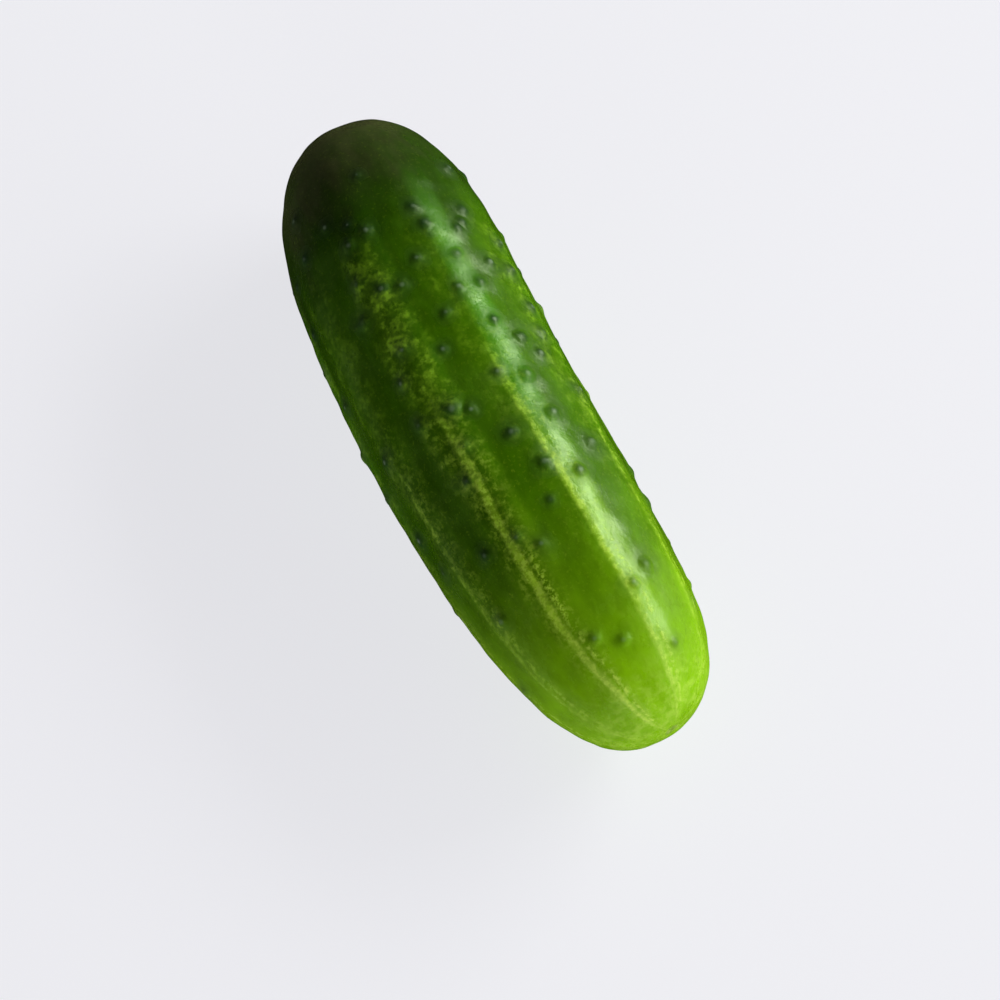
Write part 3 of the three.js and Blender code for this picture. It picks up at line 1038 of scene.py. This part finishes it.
def make_backdrop():
    """A pale wall all round, curving up out of the floor, that only the camera sees."""
    foot = [math.pi / 2 * step / BACKDROP_STEPS for step in range(BACKDROP_STEPS + 1)]
    inner = BACKDROP_REACH - BACKDROP_FOOT
    profile = [
        (inner + BACKDROP_FOOT * math.sin(angle), BACKDROP_FOOT * (1 - math.cos(angle)))
        for angle in foot
    ]
    profile.append((BACKDROP_REACH, BACKDROP_HEIGHT))
    turns = [2 * math.pi * side / BACKDROP_SIDES for side in range(BACKDROP_SIDES)]
    verts = [(r * math.cos(turn), r * math.sin(turn), z) for r, z in profile for turn in turns]
    faces = []
    for level in range(len(profile) - 1):
        start = level * BACKDROP_SIDES
        above = start + BACKDROP_SIDES
        for side in range(BACKDROP_SIDES):
            after = (side + 1) % BACKDROP_SIDES
            faces.append((start + side, above + side, above + after, start + after))
    backdrop, _, shader = make_stage_piece("backdrop", verts, faces)
    backdrop.data.polygons.foreach_set("use_smooth", [True] * len(faces))
    backdrop.visible_diffuse = False
    backdrop.visible_shadow = False
    shader.inputs["Base Color"].default_value = BLACK
    shader.inputs["Emission Strength"].default_value = BACKDROP_GLOW
    return backdrop


# ---- camera and lights ----

CAMERA_AZIMUTH = 63.1
CAMERA_ELEVATION = 68.0
CAMERA_DISTANCE = 0.70
PIXELS_PER_MM = 6.12
SENSOR_MM = 36.0
PICTURE_PIXELS = 1000
# Where the middle of the fruit's chord falls in the render, in pixels from the left and the top.
CHORD_PIXEL = (500.7, 424.5)

# The chord between the fruit's tips, as a share of the bow from the middle of the box.
CHORD_SHARE = 0.85

# Each light stands in a direction from the fruit, at a distance, with its size in metres, its
# power in watts and the line that its longer side follows. Only some show in the wax.
LENGTHWISE, ACROSS = (1, 0, 0), (0, 1, 0)
BESIDE_FRUIT, BEFORE_BLOSSOM = (0.2, 0.93, 0.3), (0.93, -0.34, 0.16)
LIGHTS = [
    ("strip", (-0.1, 0.82, 0.46), 1.2, (0.8, 0.3), 7.2, LENGTHWISE, True),
    ("sheen", BESIDE_FRUIT, 1.35, (3.0, 1.2), 0.3, LENGTHWISE, True),
    ("panel", BESIDE_FRUIT, 1.3, (3.0, 1.1), 21.3, LENGTHWISE, False),
    ("front", BEFORE_BLOSSOM, 1.3, (1.0, 0.6), 7.0, ACROSS, False),
]
# The share of full white that the room gives.
ROOM_LIGHT = 0.05
WHITE = (1, 1, 1, 1)


def camera_axes():
    azimuth, elevation = math.radians(CAMERA_AZIMUTH), math.radians(CAMERA_ELEVATION)
    right = Vector((math.cos(azimuth), math.sin(azimuth), 0))
    ahead = Vector((-math.sin(azimuth), math.cos(azimuth), 0))
    back = -ahead * math.cos(elevation) + Vector((0, 0, 1)) * math.sin(elevation)
    return right, back.cross(right), back


def make_camera(chord_middle):
    right, up, back = camera_axes()
    data = bpy.data.cameras.new("camera")
    data.sensor_width = SENSOR_MM
    data.lens = SENSOR_MM * CAMERA_DISTANCE / MM * PIXELS_PER_MM / PICTURE_PIXELS
    camera = bpy.data.objects.new("camera", data)
    bpy.context.scene.collection.objects.link(camera)
    middle = PICTURE_PIXELS / 2
    aside = right * ((middle - CHORD_PIXEL[0]) / PIXELS_PER_MM * MM)
    aside += up * ((CHORD_PIXEL[1] - middle) / PIXELS_PER_MM * MM)
    place = chord_middle + back * CAMERA_DISTANCE + aside
    turn = Matrix((right, up, back)).transposed().to_4x4()
    camera.matrix_world = Matrix.Translation(place) @ turn
    bpy.context.scene.camera = camera


def make_area_light(target, name, direction, distance, size, power, long_axis, in_wax):
    data = bpy.data.lights.new(name, "AREA")
    data.shape = "RECTANGLE"
    data.size, data.size_y = size
    data.energy = power
    light = bpy.data.objects.new(name, data)
    bpy.context.scene.collection.objects.link(light)
    away = Vector(direction).normalized()
    across = Vector(long_axis)
    across = (across - away * across.dot(away)).normalized()
    turn = Matrix((across, away.cross(across), away)).transposed().to_4x4()
    light.matrix_world = Matrix.Translation(target + away * distance) @ turn
    light.visible_glossy = in_wax


def make_lights(target):
    """Broad soft light from one side with a bright strip in it, a softbox before the blossom end,
    and a dim pale room."""
    for row in LIGHTS:
        make_area_light(target, *row)
    world = bpy.data.worlds.new("studio")
    bpy.context.scene.world = world
    world.use_nodes = True
    world.cycles_visibility.glossy = False
    background = world.node_tree.nodes["Background"]
    background.inputs["Color"].default_value = WHITE
    background.inputs["Strength"].default_value = ROOM_LIGHT
    bpy.context.scene.view_settings.view_transform = "Standard"


# ---- the scene ----

low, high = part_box("cucumber")
# The chord between the tips runs level, at the height of the spine over the seat.
chord_middle = Vector((0, BOW_SAG * MM * CHORD_SHARE, high.z / 2))
make_camera(chord_middle)
make_lights(Vector((0, 0, high.z / 2)))
make_floor()
make_backdrop()

skin = make_skin(make_skin_material(), high - low)
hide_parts("cucumber")
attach(skin, "root")
